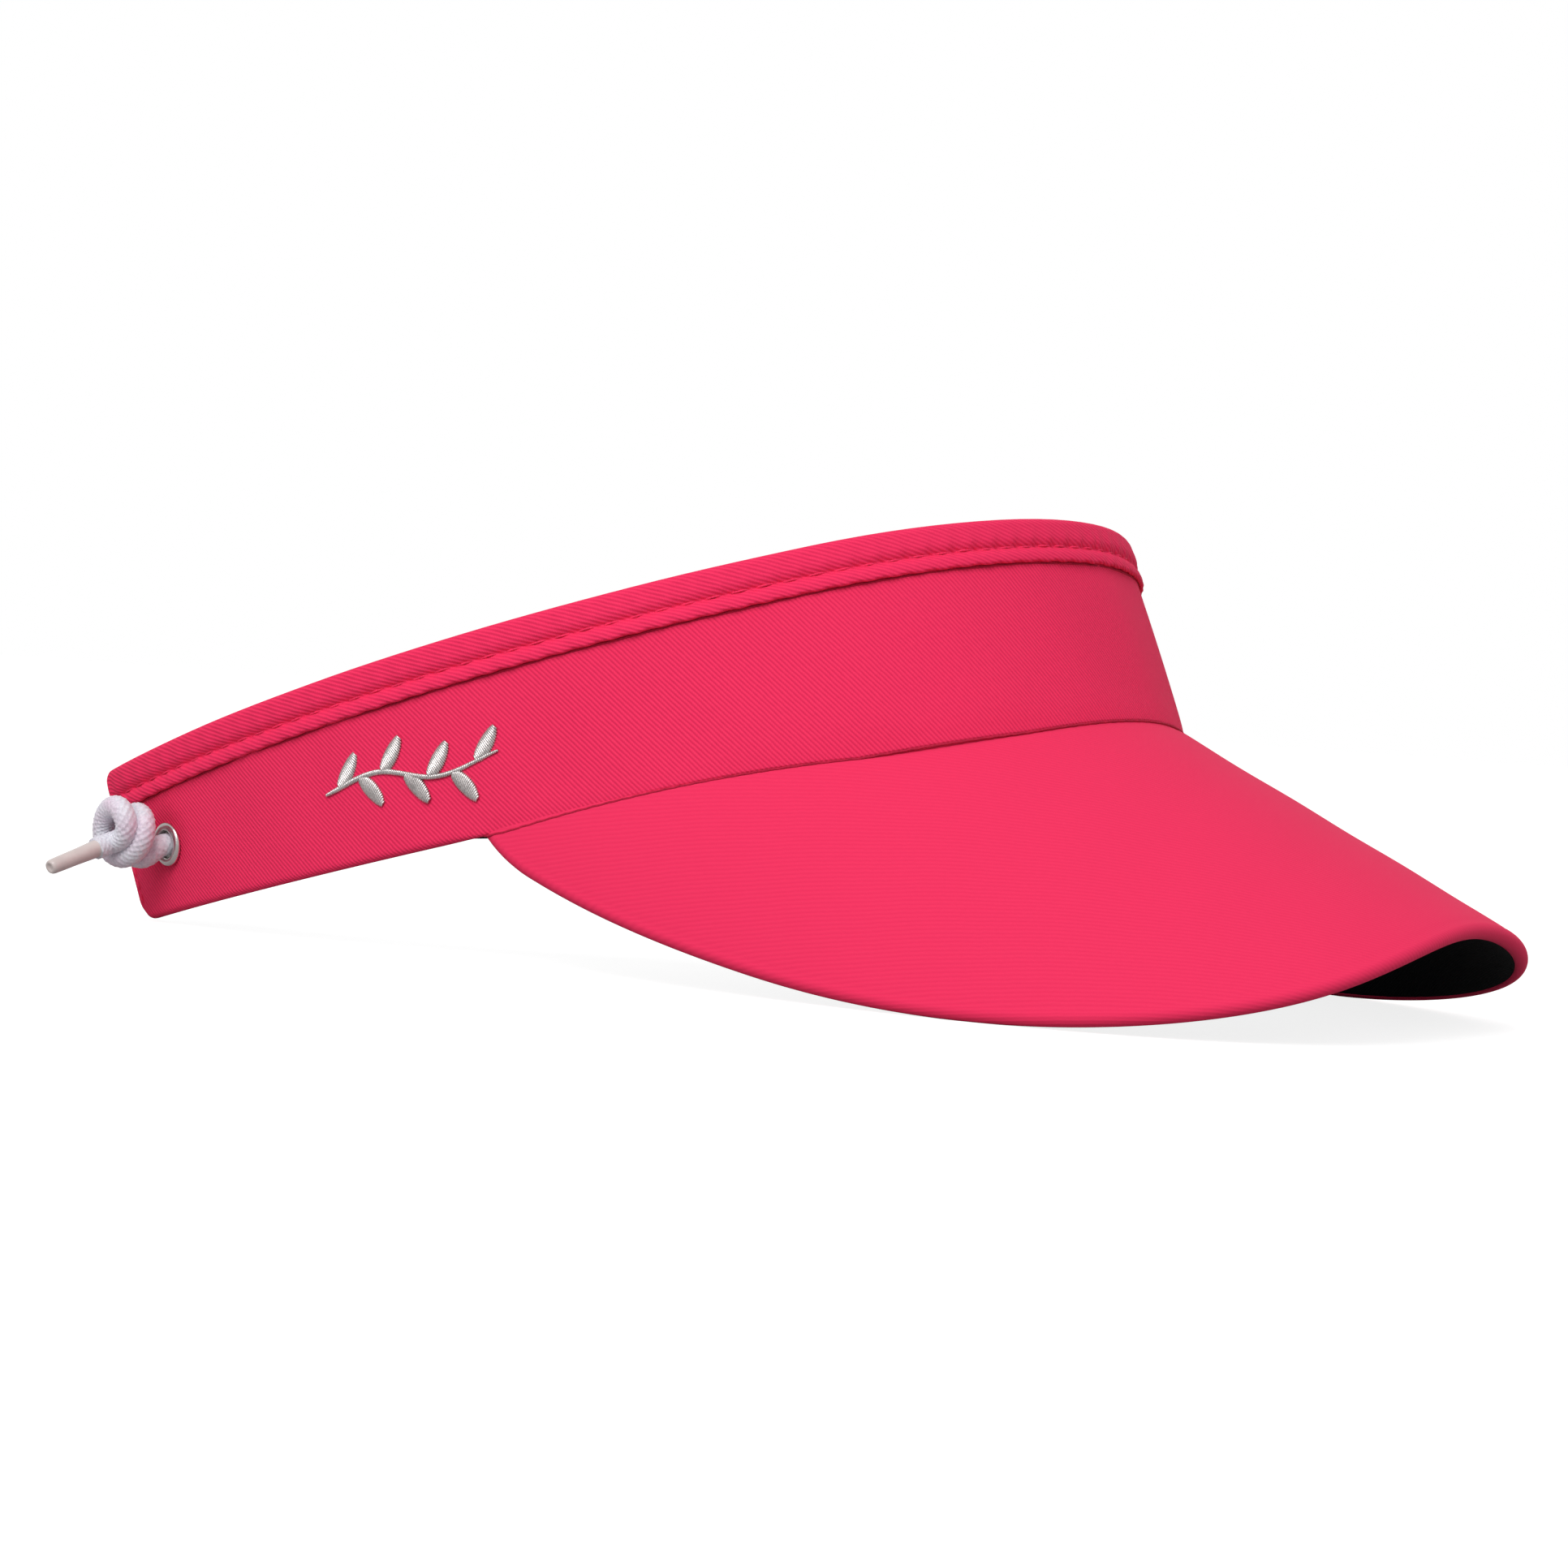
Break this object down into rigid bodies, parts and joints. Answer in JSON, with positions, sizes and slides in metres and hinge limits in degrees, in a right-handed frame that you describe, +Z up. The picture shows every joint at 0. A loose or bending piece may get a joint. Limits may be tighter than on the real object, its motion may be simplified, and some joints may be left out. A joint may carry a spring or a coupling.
{
  "type": "sun visor",
  "caption": "Open-topped sun visor with a stiffened headband, an arched padded brim and a curly elastic lace at the back.",
  "frame": {"origin": "centre of the visor's footprint on the surface it stands on, without its lace", "axes": "+Z up, -Y forwards to the brim, +X to the wearer's left"},
  "size_m": [0.2172, 0.2676, 0.0924],
  "materials": {
    "pink_twill": "raspberry cotton twill, fine diagonal weave",
    "black_lining": "matt black woven lining",
    "interfacing": "stiff white non-woven buckram",
    "foam": "soft closed-cell foam",
    "brim_plastic": "thin flexible polyethylene board",
    "silver_thread": "metallic silver embroidery thread",
    "eyelet_metal": "polished nickel",
    "lace_braid": "pearly white braided elastic",
    "aglet_plastic": "satin beige plastic"
  },
  "bodies": {
    "front": {"band_cover_front": "pink_twill", "band_interfacing_front": "interfacing", "band_lining_front": "black_lining", "binding_front": "pink_twill", "binding_filler_front": "foam", "brim_seam_tape": "black_lining", "brim_top_cover": "pink_twill", "brim_foam": "foam", "brim_board": "brim_plastic", "brim_under_cover": "black_lining", "side_motif": "silver_thread"},
    "right_wing": {"right_band_cover": "pink_twill", "right_band_interfacing": "interfacing", "right_band_lining": "black_lining", "right_binding": "pink_twill", "right_binding_filler": "foam", "right_eyelet": "eyelet_metal", "right_eyelet_washer": "eyelet_metal", "right_back_lace": "lace_braid"},
    "left_wing": {"left_band_cover": "pink_twill", "left_band_interfacing": "interfacing", "left_band_lining": "black_lining", "left_binding": "pink_twill", "left_binding_filler": "foam", "left_eyelet": "eyelet_metal", "left_eyelet_washer": "eyelet_metal", "left_back_lace": "lace_braid"},
    "right_lace_end": {"right_lace_tail": "lace_braid", "right_lace_curl": "lace_braid", "right_aglet": "aglet_plastic"},
    "left_lace_end": {"left_lace_tail": "lace_braid", "left_lace_curl": "lace_braid", "left_aglet": "aglet_plastic"}
  },
  "joints": [
    {"name": "right_wing_flex", "type": "hinge", "parent": "front", "child": "right_wing", "pos_m": [-0.08779, 0.07282, 0.03683], "axis": [0, 0.4051, 0.9143], "range_deg": [-15, 10], "stiffness_Nm_per_rad": 0.4, "deforming": ["right_back_lace"]},
    {"name": "right_lace_swing", "type": "hinge", "parent": "right_wing", "child": "right_lace_end", "pos_m": [-0.08281, 0.11022, 0.0161], "axis": [-0.9636, 0.2443, -0.1083], "range_deg": [-35, 35], "stiffness_Nm_per_rad": 0.004},
    {"name": "left_wing_flex", "type": "hinge", "parent": "front", "child": "left_wing", "pos_m": [0.08779, 0.07282, 0.03683], "axis": [0, 0.4051, 0.9143], "range_deg": [-10, 15], "stiffness_Nm_per_rad": 0.4, "deforming": ["left_back_lace"]},
    {"name": "left_lace_swing", "type": "hinge", "parent": "left_wing", "child": "left_lace_end", "pos_m": [0.08281, 0.11022, 0.0161], "axis": [0.9636, 0.2443, -0.1083], "range_deg": [-35, 35], "stiffness_Nm_per_rad": 0.004}
  ]
}
